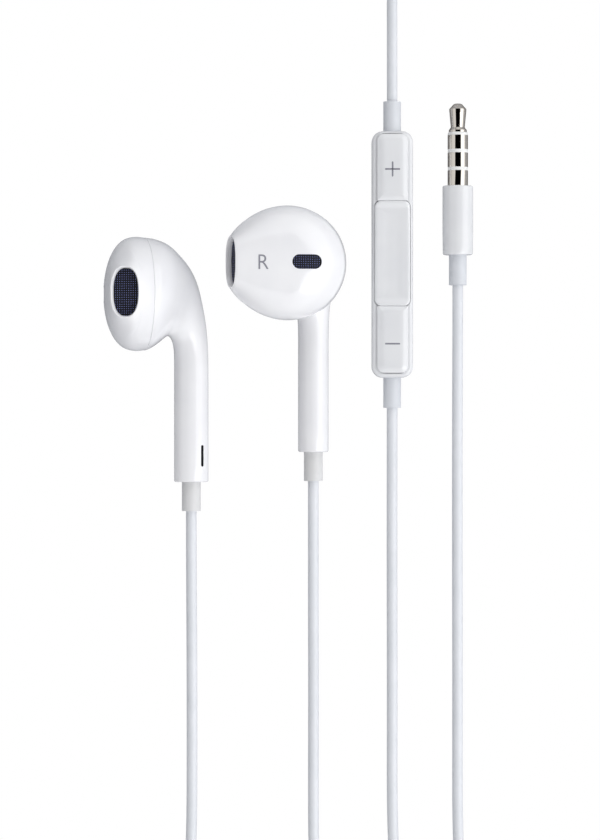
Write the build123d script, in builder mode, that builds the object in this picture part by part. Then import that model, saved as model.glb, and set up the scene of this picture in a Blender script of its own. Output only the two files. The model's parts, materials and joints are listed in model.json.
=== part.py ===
"""Wired earphones: two ear buds on stems, an inline remote with three keys, a 3.5 mm plug,
a splitter and their cords, laid flat on a table.

All sizes are millimetres. +Z is up from the table, +Y runs from the stems' ends to the heads,
and the origin is on the table under the middle of the buds and the remote.
"""
from build123d import *
import math
import os

os.makedirs("parts", exist_ok=True)

# ---------------------------------------------------------------- driving dimensions
# Where things lie: each point is the middle of a bud's head, of the remote and of the plug's tip.
left_bud_at = (-11.5, 1.85)
right_bud_at = (9.5, 7.0)
remote_at = (23.1, 8.9)
plug_tip_at = (34.4, 34.9)
left_bud_roll = 13.2  # degrees that the left bud's nozzle leans away from straight up

# Ear bud. Its own axes: x to the nozzle's side, y up the stem, z out through the front cap.
# The origin is on the stem's axis, at the height of the head's middle.
shell_wall = 0.9
seam_height = 9.0  # z of the joint between the front cap and the rear shell
seam_centre = 4.0  # x of the middle of that joint
seam_radius = 9.6
cap_rise = 6.6  # how far the cap's dome stands above the seam
dome_land = 0.4  # height of the straight rim under a dome
stem_half_width = 2.62
stem_half_depth = 2.965
stem_top = -13.0
stem_end = -32.1
stem_end_wall = 1.5
nozzle_recess = 1.0
nozzle_hole_half_width = 2.05
nozzle_hole_half_height = 4.05
mesh_thickness = 0.25
cap_vent_length = 5.1
cap_vent_width = 2.45
cap_vent_at = (0.97, 0.2)
cap_vent_mesh_height = 15.3
cap_vent_slope = 13.0  # degrees
stem_vent_length = 3.7
stem_vent_width = 0.5
stem_vent_middle = -27.6
stem_vent_offset = -1.47
stem_vent_depth = 0.6  # how deep the mesh lies under the stem's side

# Speaker in each bud, on an axis through the seam's middle.
driver_margin = 1.4  # from the driver's edge to the shell's wall
driver_radius = seam_radius - shell_wall - driver_margin
driver_clearance = 0.1
driver_floor = 7.4
driver_height = 2.0
driver_wall = 0.35
yoke_radius = 4.6
yoke_wall = 0.5
yoke_height = 2.8
magnet_radius = 3.2
magnet_height = 1.5
pole_height = 0.6
coil_inner_radius = 3.55
coil_wall = 0.25
coil_height = 1.9
diaphragm_margin = 0.6  # from the diaphragm's edge to the driver's
diaphragm_radius = driver_radius - diaphragm_margin
diaphragm_thickness = 0.12
diaphragm_height = 8.7
gasket_height = 0.6
gasket_width = 0.9

# Strain reliefs: a straight collar, a neck through the wall and a foot behind it.
bud_collar_radius = 1.625
bud_collar_length = 5.0
collar_radius = 1.525
collar_length = 5.2
neck_radius = 0.95
foot_thickness = 0.7

# Remote. Its own axes: x across, y along, z up from the table, origin under its middle.
remote_width = 7.1
remote_length = 42.4
remote_corner = 1.9
shell_height = 3.0
frame_height = 1.2
remote_wall = 0.75
remote_end_wall = 1.0
remote_floor = 0.8
remote_exit_height = 2.0
key_gap = 0.07
key_travel = 0.25
volume_key_width = 4.95
volume_key_top = 5.0
centre_key_width = 6.15
centre_key_edge = 4.9  # height of the centre key's ends
centre_key_scoop = 4.1  # height of its flat middle
scoop_ramp = 2.5
key_top_end = 20.75
upper_split = 9.2
lower_split = -8.9
key_bottom_end = -20.45
board_width = 4.6
board_length = 36.0
board_height = 0.95
board_thickness = 0.6
switch_radius = 1.3
switch_height = 0.65

# Plug. Distances run back from the tip, along -Y.
jack_radius = 1.75
sleeve_root_radius = 1.45  # of the sleeve contact inside the housing's mouth
tip_length = 4.9
tip_cone_length = 0.93
tip_cone_radius = 1.475
tip_waist = (1.2, 4.1)
insulator_widths = (0.53, 0.6, 0.6)
ring_lengths = (2.43, 2.45)
sleeve_length = 2.64
core_radius = 1.3
rod_radius = 0.45
insulator_inset = 0.03
housing_radius = 2.63
housing_length = 11.9
housing_wall = 0.85

# Cords and what is on them.
cord_diameter = 1.85
cord_radius = cord_diameter / 2
turn_pitch = 1.9
splitter_width = 4.4
splitter_depth = 3.0
splitter_length = 12.0
splitter_at = (23.75, -113.2)  # the middle of its upper end
left_coil_centre = (-1.8, -110.7)
left_coil_radius = 12.2  # to the middle of its outer turn
left_coil_turns = 3  # in each of its two layers
main_coil_centre = (50.95, -121.0)
main_coil_radius = 14.8
main_coil_turns = 4

# ---------------------------------------------------------------- helpers


def oval(plane, half_x, half_y):
    """An ellipse on a plane."""
    with BuildSketch(plane) as sketch:
        Ellipse(half_x, half_y)
    return sketch.sketch


def cap_section(crown, chin, half_height):
    """A section of the front cap. Crown and chin are its two ends, as (x, z)."""
    length = math.hypot(chin[0] - crown[0], chin[1] - crown[1])
    across = ((chin[0] - crown[0]) / length, (chin[1] - crown[1]) / length)
    middle = ((crown[0] + chin[0]) / 2, 0, (crown[1] + chin[1]) / 2)
    plane = Plane(middle, x_dir=(across[0], 0, across[1]), z_dir=(-across[1], 0, across[0]))
    return plane, length / 2, half_height


def neck_section(back, inside, half_width, offset, wall=0.0):
    """A section of the rear shell's neck. Back and inside are its two ends, as (z, y)."""
    length = math.hypot(back[0] - inside[0], back[1] - inside[1])
    across = ((back[1] - inside[1]) / length, (back[0] - inside[0]) / length)
    middle = (offset, (back[1] + inside[1]) / 2, (back[0] + inside[0]) / 2)
    plane = Plane(middle, x_dir=(0, *across), z_dir=(0, across[1], -across[0]))
    return oval(plane, length / 2 - wall, half_width - wall)


def lofted(sections):
    """A solid lofted straight from each section to the next."""
    with BuildPart() as solid:
        for first, second in zip(sections, sections[1:]):
            loft([first, second])
    return solid.part


def write(piece, name):
    piece.label = name
    export_step(piece, f"parts/{name}.step")


# ---------------------------------------------------------------- ear bud shells
# The front cap is a low dome with an oval nozzle lofted out of its side. Each of the nozzle's
# two sections is its crown (x, z), its chin (x, z) and its half height.
nozzle_root = ((3.5, 15.85), (12.9, 9.3), 7.0)
nozzle_face = ((13.65, 16.45), (15.1, 11.8), 4.6)
# The rear shell is a bowl, with a neck lofted out of its side that bends down into the stem.
bowl_depth = 7.5
neck_stations = [
    # back (z, y), inside (z, y), half width, offset
    ((2.7, 6.2), (5.35, -7.5), 6.9, 2.25),
    ((0.7, 3.8), (4.55, -7.1), 5.6, 1.45),
    ((-0.8, 1.1), (3.95, -7.2), 4.4, 0.8),
    ((-1.85, -1.9), (3.45, -7.8), 3.55, 0.35),
    ((-2.5, -5.2), (3.1, -9.0), 2.95, 0.1),
    ((-2.85, -8.9), (2.97, -10.9), 2.68, 0.0),
    ((-stem_half_depth, stem_top), (stem_half_depth, stem_top), stem_half_width, 0.0),
]
root_plane, root_half_length, root_half_height = cap_section(*nozzle_root)
nozzle_plane, face_half_length, face_half_height = cap_section(*nozzle_face)
driver_axis = Plane((seam_centre, 0, 0), x_dir=(1, 0, 0), z_dir=(0, 0, 1))
vent_plane = Plane(
    (cap_vent_at[0], cap_vent_at[1], cap_vent_mesh_height),
    x_dir=(math.cos(math.radians(cap_vent_slope)), 0, math.sin(math.radians(cap_vent_slope))),
    z_dir=(-math.sin(math.radians(cap_vent_slope)), 0, math.cos(math.radians(cap_vent_slope))),
)
vent_side = stem_half_width - stem_vent_depth


def dome(radius, rise):
    """A round-shouldered dome that stands on the seam's plane."""
    with BuildPart() as solid:
        with BuildSketch(driver_axis.offset(seam_height)):
            Circle(radius)
        extrude(amount=rise)
        fillet(solid.faces().sort_by(Axis.Z)[-1].edges(), rise - dome_land)
    return solid.part


cavity_face = nozzle_plane.offset(-nozzle_recess - 2 * mesh_thickness)
cap_cavity = [
    oval(root_plane, root_half_length - shell_wall, root_half_height - shell_wall),
    oval(cavity_face, nozzle_hole_half_width, nozzle_hole_half_height),
]
with BuildPart() as front_cap:
    add(dome(seam_radius, cap_rise))
    loft([oval(root_plane, root_half_length, root_half_height),
          oval(nozzle_plane, face_half_length, face_half_height)])
    add(dome(seam_radius - shell_wall, cap_rise - shell_wall), mode=Mode.SUBTRACT)
    loft(cap_cavity, mode=Mode.SUBTRACT)
    extrude(oval(nozzle_plane.offset(0.5), nozzle_hole_half_width, nozzle_hole_half_height),
            amount=-0.7 - nozzle_recess - 2 * mesh_thickness, mode=Mode.SUBTRACT)
    with BuildSketch(vent_plane.offset(-1.2)):
        SlotOverall(cap_vent_length, cap_vent_width)
    extrude(amount=3.0, mode=Mode.SUBTRACT)

seat_radius = driver_radius + driver_clearance
stem_plane = Plane((0, stem_top, 0), x_dir=(0, 0, 1), z_dir=(0, -1, 0))
bowl = mirror(dome(seam_radius, bowl_depth), about=driver_axis.offset(seam_height))
bowl_cavity = mirror(dome(seam_radius - shell_wall, bowl_depth - shell_wall),
                     about=driver_axis.offset(seam_height))
with BuildPart() as rear_shell:
    add(bowl)
    add(lofted([neck_section(*station) for station in neck_stations]))
    extrude(oval(stem_plane, stem_half_depth, stem_half_width), amount=stem_top - stem_end)
    add(bowl_cavity, mode=Mode.SUBTRACT)
    add(lofted([neck_section(*station, wall=shell_wall) for station in neck_stations]),
        mode=Mode.SUBTRACT)
    extrude(oval(stem_plane, stem_half_depth - shell_wall, stem_half_width - shell_wall),
            amount=stem_top - stem_end - stem_end_wall, mode=Mode.SUBTRACT)
    # The ring that the speaker sits in stands up past the seam and centres the front cap.
    with BuildSketch(driver_axis.offset(driver_floor)):
        Circle(seam_radius - shell_wall + 0.25)
        Circle(seat_radius, mode=Mode.SUBTRACT)
    extrude(amount=seam_height - driver_floor - 0.1)
    with BuildSketch(driver_axis.offset(driver_floor)):
        Circle(seat_radius + 0.75)
        Circle(seat_radius, mode=Mode.SUBTRACT)
    extrude(amount=seam_height - driver_floor + 0.9)
    with BuildSketch(driver_axis.offset(driver_floor - 0.6)):
        Circle(seam_radius - shell_wall + 0.15)
        Circle(seat_radius - 0.7, mode=Mode.SUBTRACT)
    extrude(amount=0.6)
    # The hole for the strain relief's neck, and the narrow vent near the stem's end.
    with BuildSketch(Plane.XZ.offset(-stem_end)):
        Circle(neck_radius)
    extrude(amount=-stem_end_wall, mode=Mode.SUBTRACT)
    with Locations((stem_half_width, stem_vent_middle, stem_vent_offset)):
        Box(3.0, stem_vent_length, stem_vent_width, mode=Mode.SUBTRACT)

with BuildPart() as nozzle_mesh:
    extrude(oval(nozzle_plane.offset(-nozzle_recess), nozzle_hole_half_width,
                 nozzle_hole_half_height), amount=-mesh_thickness)

with BuildPart() as cap_vent_mesh:
    with BuildSketch(vent_plane):
        SlotOverall(cap_vent_length, cap_vent_width)
    extrude(amount=-mesh_thickness)

with BuildPart() as stem_vent_mesh:
    with Locations((vent_side - mesh_thickness / 2, stem_vent_middle, stem_vent_offset)):
        Box(mesh_thickness, stem_vent_length, stem_vent_width)

# ---------------------------------------------------------------- speaker in the bud
with BuildPart() as driver_frame:
    with BuildSketch(driver_axis.offset(driver_floor)):
        Circle(driver_radius)
        Circle(yoke_radius, mode=Mode.SUBTRACT)
        with PolarLocations((driver_radius + yoke_radius) / 2, 6, start_angle=30):
            Circle(0.6, mode=Mode.SUBTRACT)
    extrude(amount=driver_wall)
    with BuildSketch(driver_axis.offset(driver_floor)):
        Circle(driver_radius)
        Circle(driver_radius - driver_wall, mode=Mode.SUBTRACT)
    extrude(amount=driver_height)

yoke_top = driver_floor + driver_wall
yoke_floor = yoke_top - yoke_height
with BuildPart() as driver_yoke:
    with BuildSketch(driver_axis.offset(yoke_floor)):
        Circle(yoke_radius)
    extrude(amount=yoke_height)
    with BuildSketch(driver_axis.offset(yoke_floor + yoke_wall)):
        Circle(yoke_radius - yoke_wall)
    extrude(amount=yoke_height, mode=Mode.SUBTRACT)

magnet_floor = yoke_floor + yoke_wall
with BuildPart() as driver_magnet:
    with BuildSketch(driver_axis.offset(magnet_floor)):
        Circle(magnet_radius)
    extrude(amount=magnet_height)

with BuildPart() as pole_plate:
    with BuildSketch(driver_axis.offset(magnet_floor + magnet_height)):
        Circle(magnet_radius)
    extrude(amount=pole_height)

coil_top = diaphragm_height
with BuildPart() as voice_coil:
    with BuildSketch(driver_axis.offset(coil_top - coil_height)):
        Circle(coil_inner_radius + coil_wall)
        Circle(coil_inner_radius, mode=Mode.SUBTRACT)
    extrude(amount=coil_height)

# The diaphragm is a thin disc: raised inside the coil and in a ring outside it.
dome_rise = 0.5
roll_rise = 0.25
coil_radius = coil_inner_radius + coil_wall
roll_middle = (coil_radius + diaphragm_radius) / 2
diaphragm_rises = [
    # radius, rise
    (0.0, dome_rise),
    (coil_radius * 0.55, dome_rise * 0.7),
    (coil_radius, 0.0),
    (roll_middle, roll_rise),
    (diaphragm_radius, 0.0),
]
under_side = [(radius, diaphragm_height + rise) for radius, rise in diaphragm_rises]
top_side = [(radius, height + diaphragm_thickness) for radius, height in reversed(under_side)]
with BuildPart() as diaphragm:
    with BuildSketch(Plane.XZ):
        with BuildLine():
            Polyline(*under_side, *top_side, close=True)
        make_face()
    revolve(axis=Axis.Z)
diaphragm_part = diaphragm.part.moved(Location((seam_centre, 0, 0)))

gasket_floor = driver_floor + driver_height
with BuildPart() as front_gasket:
    with BuildSketch(driver_axis.offset(gasket_floor)):
        Circle(driver_radius)
        Circle(driver_radius - gasket_width, mode=Mode.SUBTRACT)
    extrude(amount=gasket_height)

terminal_size = (3.0, 1.4, 0.5)
terminal_at = (seam_centre, -(yoke_radius + 0.9), driver_floor - terminal_size[2] / 2)
with BuildPart() as terminal_board:
    with Locations(terminal_at):
        Box(*terminal_size)

# Two enamelled wires run from the terminal board round the bend and down the stem.
lead_radius = 0.2
foot_top = stem_end + stem_end_wall + foot_thickness
lead_route = [
    (terminal_at[0], terminal_at[1], terminal_at[2] - terminal_size[2] / 2),
    (terminal_at[0] - 0.4, terminal_at[1] - 0.1, terminal_at[2] - 2.5),
    (1.6, -4.4, 2.2),
    (0.2, -7.6, 0.4),
    (0.1, -14.0, 0.0),
    (0.0, foot_top, 0.0),
]
with BuildPart() as inner_leads:
    for side in (-0.45, 0.45):
        shifted = [(x + side, y, z) for x, y, z in lead_route]
        with BuildLine() as wire:
            FilletPolyline(*shifted, radius=1.0)
        with BuildSketch(Plane(wire.line @ 0, z_dir=wire.line % 0)):
            Circle(lead_radius)
        sweep(path=wire.line)

with BuildPart() as strain_relief:
    with BuildSketch(Plane.XZ.offset(-stem_end)):
        Circle(bud_collar_radius)
    extrude(amount=bud_collar_length)
    with BuildSketch(Plane.XZ.offset(-stem_end)):
        Circle(neck_radius)
    extrude(amount=-stem_end_wall)
    with BuildSketch(Plane.XZ.offset(-stem_end - stem_end_wall)):
        Circle(neck_radius + 0.55)
    extrude(amount=-foot_thickness)

bud_pieces = {
    "front_cap": front_cap.part,
    "rear_shell": rear_shell.part,
    "nozzle_mesh": nozzle_mesh.part,
    "cap_vent_mesh": cap_vent_mesh.part,
    "stem_vent_mesh": stem_vent_mesh.part,
    "driver_frame": driver_frame.part,
    "driver_yoke": driver_yoke.part,
    "driver_magnet": driver_magnet.part,
    "pole_plate": pole_plate.part,
    "voice_coil": voice_coil.part,
    "diaphragm": diaphragm_part,
    "front_gasket": front_gasket.part,
    "terminal_board": terminal_board.part,
    "inner_leads": inner_leads.part,
    "strain_relief": strain_relief.part,
}
# The left bud lies on its side, nozzle up. The right bud is its mirror image, on its back.
left_turn = Location((0, 0, 0), (0, left_bud_roll - 90, 0))
left_axis_height = -rear_shell.part.moved(left_turn).bounding_box().min.Z
right_axis_height = stem_half_depth
left_place = Location((*left_bud_at, left_axis_height), (0, left_bud_roll - 90, 0))
right_place = Location((*right_bud_at, right_axis_height))
for piece_name, piece in bud_pieces.items():
    write(piece.moved(left_place), f"left_{piece_name}")
    write(mirror(piece, about=Plane.YZ).moved(right_place), f"right_{piece_name}")

# ---------------------------------------------------------------- remote
remote_place = Location((*remote_at, 0))
frame_floor = shell_height
frame_top = shell_height + frame_height
well_floor = frame_floor + 0.3  # the centre key's wide well
shelf_height = frame_floor + 0.65  # the shelf under the volume keys' outer ends
inner_width = remote_width - 2 * remote_wall
inner_length = remote_length - 2 * remote_end_wall

with BuildPart() as remote_back_shell:
    with BuildSketch():
        RectangleRounded(remote_width, remote_length, remote_corner)
    extrude(amount=shell_height)
    fillet(remote_back_shell.faces().sort_by(Axis.Z)[0].edges(), 1.4)
    with BuildSketch(Plane.XY.offset(remote_floor)):
        RectangleRounded(inner_width, inner_length, remote_corner - remote_wall)
    extrude(amount=shell_height, mode=Mode.SUBTRACT)
    with Locations((0, 0, remote_exit_height)):
        Cylinder(neck_radius, remote_length + 2, rotation=(90, 0, 0), mode=Mode.SUBTRACT)
    with Locations((0, -board_length / 2 + 3, 0)):
        Cylinder(0.5, 2 * shell_height, mode=Mode.SUBTRACT)

key_spans = {"up": (upper_split, key_top_end), "down": (key_bottom_end, lower_split)}
guide_end_inset = 2.2
with BuildPart() as remote_front_frame:
    with BuildSketch(Plane.XY.offset(frame_floor)):
        RectangleRounded(remote_width, remote_length, remote_corner)
    extrude(amount=frame_height)
    fillet(remote_front_frame.faces().sort_by(Axis.Z)[-1].edges(), 0.7)
    for low, high in key_spans.values():
        with BuildSketch(Plane.XY.offset(shelf_height)):
            with Locations((0, (low + high) / 2)):
                RectangleRounded(volume_key_width + 2 * key_gap, high - low + 2 * key_gap, 1.25)
        extrude(amount=frame_height, mode=Mode.SUBTRACT)
    guide_low = key_bottom_end + guide_end_inset - key_gap
    guide_high = key_top_end - guide_end_inset + key_gap
    with BuildSketch(Plane.XY.offset(frame_floor)):
        with Locations((0, (guide_low + guide_high) / 2)):
            Rectangle(volume_key_width - 0.6 + 2 * key_gap, guide_high - guide_low)
    extrude(amount=frame_height, mode=Mode.SUBTRACT)
    with BuildSketch(Plane.XY.offset(well_floor)):
        with Locations((0, (upper_split + lower_split) / 2)):
            RectangleRounded(centre_key_width + 2 * key_gap,
                             upper_split - lower_split + 2 * key_gap, 1.15)
    extrude(amount=frame_height, mode=Mode.SUBTRACT)

switch_top = board_height + board_thickness + switch_height
nub_floor = switch_top + key_travel + 0.05
guide_floor = nub_floor + 0.1
guide_width = volume_key_width - 0.6
hook_height = 0.3


def volume_key(low, high, outer_end):
    """A crowned volume key between two places along the remote. Outer end is +1 or -1."""
    with BuildPart() as key:
        with BuildSketch(Plane.XY.offset(shelf_height + key_travel + 0.05)):
            with Locations((0, (low + high) / 2)):
                RectangleRounded(volume_key_width, high - low - key_gap, 1.2)
        extrude(amount=volume_key_top - shelf_height - key_travel - 0.05)
        fillet(key.faces().sort_by(Axis.Z)[-1].edges(), 0.5)
        low_guide = low + (key_gap if outer_end > 0 else guide_end_inset)
        high_guide = high - (guide_end_inset if outer_end > 0 else key_gap)
        with BuildSketch(Plane.XY.offset(guide_floor)):
            with Locations((0, (low_guide + high_guide) / 2)):
                Rectangle(guide_width, high_guide - low_guide)
        extrude(amount=shelf_height + key_travel + 0.4 - guide_floor)
        with BuildSketch(Plane.XY.offset(guide_floor)):
            with Locations((0, (low_guide + high_guide) / 2)):
                Rectangle(guide_width + 0.9, high_guide - low_guide - 2.0)
        extrude(amount=hook_height)
        with BuildSketch(Plane.XY.offset(nub_floor)):
            with Locations((0, (low + high) / 2)):
                Circle(0.6)
        extrude(amount=guide_floor - nub_floor)
    return key.part


key_parts = {
    "volume_up_key": volume_key(*key_spans["up"], 1),
    "volume_down_key": volume_key(*key_spans["down"], -1),
}

# The centre key is a scooped plate, wider than the volume keys, on a guide of their width.
centre_middle = (upper_split + lower_split) / 2
centre_half = (upper_split - lower_split) / 2 - key_gap / 2
plate_floor = well_floor + key_travel + 0.05
flat_half = centre_half - scoop_ramp
ramp_rise = centre_key_edge - centre_key_scoop
ramp_radius = (scoop_ramp**2 + ramp_rise**2) / (2 * ramp_rise)
with BuildPart() as centre_key:
    side_plane = Plane((-centre_key_width / 2, centre_middle, 0), x_dir=(0, 1, 0),
                       z_dir=(1, 0, 0))
    with BuildSketch(side_plane):
        with BuildLine():
            Polyline((-flat_half, centre_key_scoop), (flat_half, centre_key_scoop))
            RadiusArc((flat_half, centre_key_scoop), (centre_half, centre_key_edge),
                      -ramp_radius)
            Polyline((centre_half, centre_key_edge), (centre_half, plate_floor),
                     (-centre_half, plate_floor), (-centre_half, centre_key_edge))
            RadiusArc((-centre_half, centre_key_edge), (-flat_half, centre_key_scoop),
                      -ramp_radius)
        make_face()
    extrude(amount=centre_key_width)
    fillet(centre_key.edges().filter_by(Axis.Z), 1.1)
    with BuildSketch(Plane.XY.offset(guide_floor)):
        with Locations((0, centre_middle)):
            Rectangle(guide_width, 2 * centre_half - 0.5)
    extrude(amount=plate_floor + 0.2 - guide_floor)
    with BuildSketch(Plane.XY.offset(guide_floor)):
        with Locations((0, centre_middle)):
            Rectangle(guide_width + 0.9, 2 * centre_half - 4.0)
    extrude(amount=hook_height)
    with BuildSketch(Plane.XY.offset(nub_floor)):
        with Locations((0, centre_middle)):
            Circle(0.6)
    extrude(amount=guide_floor - nub_floor)
key_parts["centre_key"] = centre_key.part

with BuildPart() as circuit_board:
    with BuildSketch(Plane.XY.offset(board_height)):
        RectangleRounded(board_width, board_length, 0.4)
    extrude(amount=board_thickness)

switch_places = [(0, (low + high) / 2) for low, high in key_spans.values()]
switch_places.append((0, centre_middle))
with BuildPart() as key_switches:
    with BuildSketch(Plane.XY.offset(board_height + board_thickness)):
        with Locations(*switch_places):
            Circle(switch_radius)
    extrude(amount=switch_height, taper=20)

with BuildPart() as microphone:
    with Locations((0, -board_length / 2 + 8.5, board_height + board_thickness)):
        Box(2.4, 3.2, 0.5, align=(Align.CENTER, Align.CENTER, Align.MIN))

# A disc of mesh behind the sound hole in the floor of the remote.
with BuildPart() as microphone_mesh:
    with BuildSketch(Plane.XY.offset(remote_floor)):
        with Locations((0, -board_length / 2 + 3)):
            Circle(0.8)
    extrude(amount=board_height - remote_floor)


def end_relief(towards):
    """A strain relief on the remote's end. Towards is +1 at the upper end, -1 at the lower."""
    end = towards * remote_length / 2
    with BuildPart() as relief:
        with Locations((0, end + towards * collar_length / 2, remote_exit_height)):
            Cylinder(collar_radius, collar_length, rotation=(90, 0, 0))
        with Locations((0, end - towards * remote_end_wall / 2, remote_exit_height)):
            Cylinder(neck_radius, remote_end_wall, rotation=(90, 0, 0))
        foot_middle = end - towards * (remote_end_wall + foot_thickness / 2)
        with Locations((0, foot_middle, remote_exit_height)):
            Box(3.4, foot_thickness, 1.7)
    return relief.part


remote_pieces = {
    "remote_back_shell": remote_back_shell.part,
    "remote_front_frame": remote_front_frame.part,
    **key_parts,
    "remote_circuit_board": circuit_board.part,
    "remote_key_switches": key_switches.part,
    "remote_microphone": microphone.part,
    "remote_microphone_mesh": microphone_mesh.part,
    "remote_upper_strain_relief": end_relief(1),
    "remote_lower_strain_relief": end_relief(-1),
}
for piece_name, piece in remote_pieces.items():
    write(piece.moved(remote_place), piece_name)

# ---------------------------------------------------------------- plug
# Profiles are drawn as (radius, distance from the tip) and turned about the plug's axis.
plug_place = Location((*plug_tip_at, housing_radius), (90, 0, 0))
first_ring = tip_length + insulator_widths[0]
second_insulator = first_ring + ring_lengths[0]
second_ring = second_insulator + insulator_widths[1]
third_insulator = second_ring + ring_lengths[1]
sleeve_start = third_insulator + insulator_widths[2]
shoulder = sleeve_start + sleeve_length
housing_end = shoulder + housing_length
relief_end = housing_end + collar_length
insulator_radius = jack_radius - insulator_inset
flange_radius = housing_radius - housing_wall + 0.3
flange_start = shoulder + 0.8
flange_end = flange_start + 1.2
core_end = flange_end + 0.6
rod_end = core_end + 1.2
cavity_end = housing_end - 2.6


def turned(outline):
    """A solid turned about Z from its closed outline of (radius, distance) points."""
    with BuildPart() as piece:
        with BuildSketch(Plane.XZ):
            with BuildLine():
                Polyline(*outline, close=True)
            make_face()
        revolve(axis=Axis.Z)
    return piece.part


tip_contact = turned([
    (0, 0), (0.5, 0), (0.75, 0.12), (tip_cone_radius, tip_cone_length),
    (tip_cone_radius, tip_cone_length + 0.2), tip_waist, (1.55, tip_waist[1] + 0.45),
    (1.55, tip_length), (rod_radius, tip_length), (rod_radius, rod_end), (0, rod_end),
])
plug_insulator = turned([
    (rod_radius, tip_length), (insulator_radius - 0.15, tip_length),
    (insulator_radius, tip_length + 0.15), (insulator_radius, first_ring),
    (core_radius, first_ring), (core_radius, second_insulator),
    (insulator_radius, second_insulator), (insulator_radius, second_ring),
    (core_radius, second_ring), (core_radius, third_insulator),
    (insulator_radius, third_insulator), (insulator_radius, sleeve_start),
    (core_radius, sleeve_start), (core_radius, core_end), (rod_radius, core_end),
])
ring_contacts = []
for start, length in ((first_ring, ring_lengths[0]), (second_ring, ring_lengths[1])):
    end = start + length
    ring_contacts.append(turned([
        (core_radius, start), (jack_radius, start), (jack_radius, end), (core_radius, end),
    ]))
sleeve_contact = turned([
    (core_radius, sleeve_start), (jack_radius, sleeve_start), (jack_radius, shoulder),
    (sleeve_root_radius, shoulder), (sleeve_root_radius, flange_start),
    (flange_radius, flange_start), (flange_radius, flange_end), (core_radius, flange_end),
])
plug_housing = turned([
    (sleeve_root_radius, shoulder), (housing_radius - 0.25, shoulder),
    (housing_radius - 0.07, shoulder + 0.08), (housing_radius, shoulder + 0.25),
    (housing_radius, shoulder + 8.0), (housing_radius - 0.05, housing_end - 0.25),
    (housing_radius - 0.12, housing_end - 0.07), (housing_radius - 0.3, housing_end),
    (neck_radius, housing_end), (neck_radius, cavity_end),
    (housing_radius - housing_wall, cavity_end), (housing_radius - housing_wall, flange_end),
    (flange_radius, flange_end), (flange_radius, flange_start),
    (sleeve_root_radius, flange_start),
])
plug_relief = turned([
    (0, cavity_end - foot_thickness), (neck_radius + 0.5, cavity_end - foot_thickness),
    (neck_radius + 0.5, cavity_end), (neck_radius, cavity_end), (neck_radius, housing_end),
    (collar_radius, housing_end), (collar_radius, relief_end), (0, relief_end),
])
with BuildPart() as solder_terminals:
    with BuildSketch(Plane.XY.offset(core_end)):
        with PolarLocations(rod_radius + 0.5, 4, start_angle=45):
            Rectangle(0.3, 0.6)
    extrude(amount=1.6)

plug_pieces = {
    "plug_tip_contact": tip_contact,
    "plug_first_ring_contact": ring_contacts[0],
    "plug_second_ring_contact": ring_contacts[1],
    "plug_sleeve_contact": sleeve_contact,
    "plug_insulator": plug_insulator,
    "plug_housing": plug_housing,
    "plug_solder_terminals": solder_terminals.part,
    "plug_strain_relief": plug_relief,
}
for piece_name, piece in plug_pieces.items():
    write(piece.moved(plug_place), piece_name)

# ---------------------------------------------------------------- splitter
splitter_height = splitter_depth / 2
splitter_end = splitter_at[1] - splitter_length
with BuildPart() as splitter:
    top_plane = Plane((*splitter_at, splitter_height), x_dir=(1, 0, 0), z_dir=(0, -1, 0))
    with BuildSketch(top_plane):
        RectangleRounded(splitter_width, splitter_depth, splitter_depth / 2 - 0.05)
    extrude(amount=splitter_length)
    fillet(splitter.faces().sort_by(Axis.Y)[0].edges(), 0.6)
write(splitter.part, "splitter")

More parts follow.
